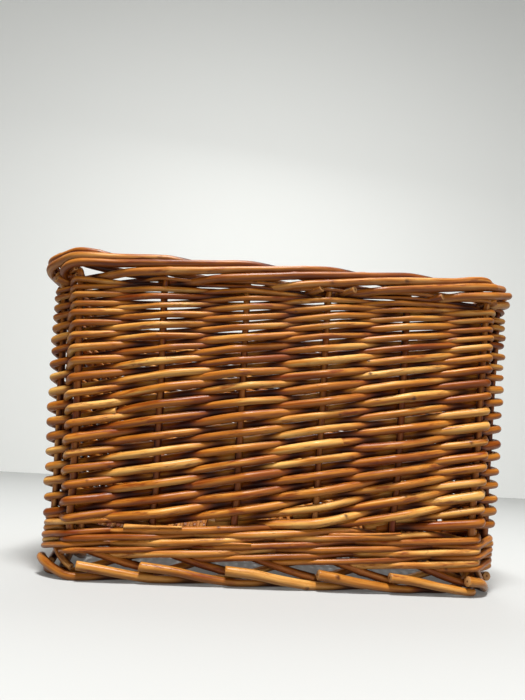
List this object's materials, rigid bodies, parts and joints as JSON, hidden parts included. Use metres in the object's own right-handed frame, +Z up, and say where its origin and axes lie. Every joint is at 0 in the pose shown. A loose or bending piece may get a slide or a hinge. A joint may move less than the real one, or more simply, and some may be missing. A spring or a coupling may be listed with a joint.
{
  "type": "wicker basket",
  "caption": "Open rectangular willow basket with leaning woven sides on upright stakes, a plain rolled rim, a woven base and a raised foot border.",
  "frame": {"origin": "on the floor, under the middle of the basket", "axes": "+Z up, X along the long sides, the front side faces -Y"},
  "size_m": [0.407, 0.305, 0.262],
  "materials": {
    "siding_rods": "varnished buff willow, honey brown, semi-gloss",
    "wale_rods": "varnished buff willow, honey brown, semi-gloss",
    "border_rods": "varnished buff willow, reddish brown, semi-gloss",
    "foot_rods": "varnished buff willow, honey brown, pale cut ends",
    "stakes": "varnished buff willow, darker brown, semi-gloss",
    "base_weaving": "varnished buff willow, honey brown, satin",
    "base_sticks": "varnished buff willow, satin"
  },
  "bodies": {
    "root": {"base_weave": "base_weaving", "base_stick_1": "base_sticks", "base_stick_2": "base_sticks", "base_stick_3": "base_sticks", "base_stick_4": "base_sticks", "base_stick_5": "base_sticks", "base_stick_6": "base_sticks", "base_stick_7": "base_sticks", "stake_front_1": "stakes", "stake_front_2": "stakes", "stake_front_3": "stakes", "stake_front_4": "stakes", "stake_front_5": "stakes", "stake_front_6": "stakes", "stake_right_1": "stakes", "stake_right_2": "stakes", "stake_right_3": "stakes", "stake_right_4": "stakes", "stake_right_5": "stakes", "stake_back_1": "stakes", "stake_back_2": "stakes", "stake_back_3": "stakes", "stake_back_4": "stakes", "stake_back_5": "stakes", "stake_back_6": "stakes", "stake_left_1": "stakes", "stake_left_2": "stakes", "stake_left_3": "stakes", "stake_left_4": "stakes", "stake_left_5": "stakes", "foot_stakes_front": "foot_rods", "foot_stakes_right": "foot_rods", "foot_stakes_back": "foot_rods", "foot_stakes_left": "foot_rods", "foot_border_front": "foot_rods", "foot_border_right": "foot_rods", "foot_border_back": "foot_rods", "foot_border_left": "foot_rods", "foot_border_corners": "foot_rods", "wale_front": "wale_rods", "wale_right": "wale_rods", "wale_back": "wale_rods", "wale_left": "wale_rods", "wale_corners": "wale_rods", "siding_front": "siding_rods", "siding_right": "siding_rods", "siding_back": "siding_rods", "siding_left": "siding_rods", "siding_corners": "siding_rods", "top_border_front": "border_rods", "top_border_right": "border_rods", "top_border_back": "border_rods", "top_border_left": "border_rods", "top_border_corners": "border_rods"}
  },
  "joints": []
}
